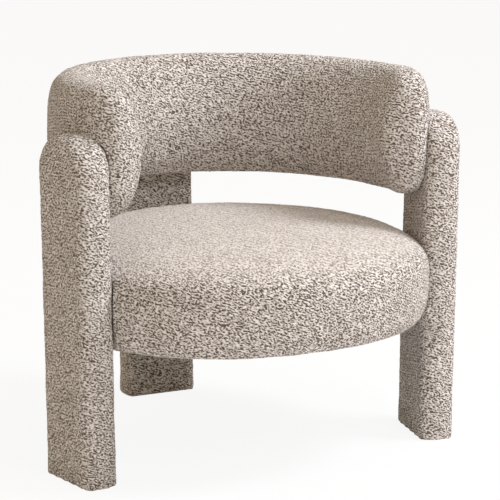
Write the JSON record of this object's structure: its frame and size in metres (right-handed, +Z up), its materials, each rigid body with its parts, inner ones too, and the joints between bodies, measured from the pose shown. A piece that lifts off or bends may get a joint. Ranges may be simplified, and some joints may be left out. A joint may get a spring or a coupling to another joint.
{
  "type": "tub chair",
  "caption": "Tub chair: a deep oval seat cushion held between three broad upholstered slab legs, with a thick padded back that wraps round into two open arms.",
  "frame": {"origin": "centre of the overall box in plan, at floor level", "axes": "+X to the sitter's left, which is the right of the chair seen from the front; +Y towards the back; +Z up; metres"},
  "size_m": [0.799, 0.7536, 0.7],
  "materials": {
    "boucle": "looped wool-mix boucle, cream with taupe flecks",
    "foam": "upholstery foam",
    "timber": "bare birch plywood",
    "webbing": "elastic webbing",
    "lining": "non-woven dust cover",
    "steel": "zinc plated",
    "brass": "plain",
    "glide_plastic": "black nylon"
  },
  "bodies": {
    "root": {"left_leg_core": "timber", "left_leg_foam": "foam", "left_leg_cover": "boucle", "right_leg_core": "timber", "right_leg_foam": "foam", "right_leg_cover": "boucle", "rear_leg_core": "timber", "rear_leg_foam": "foam", "rear_leg_cover": "boucle", "leg_inserts": "brass", "leg_glides": "glide_plastic", "joint_sleeves": "steel", "seat_ring": "timber", "seat_packers": "timber", "seat_webbing": "webbing", "seat_foam": "foam", "seat_cover": "boucle", "seat_dust_cover": "lining", "seat_bolts": "steel", "seat_washers": "steel", "back_panel": "timber", "back_packers": "timber", "back_foam_inner": "foam", "back_foam_outer": "foam", "back_cover": "boucle", "back_bolts": "steel", "back_washers": "steel"}
  },
  "joints": []
}
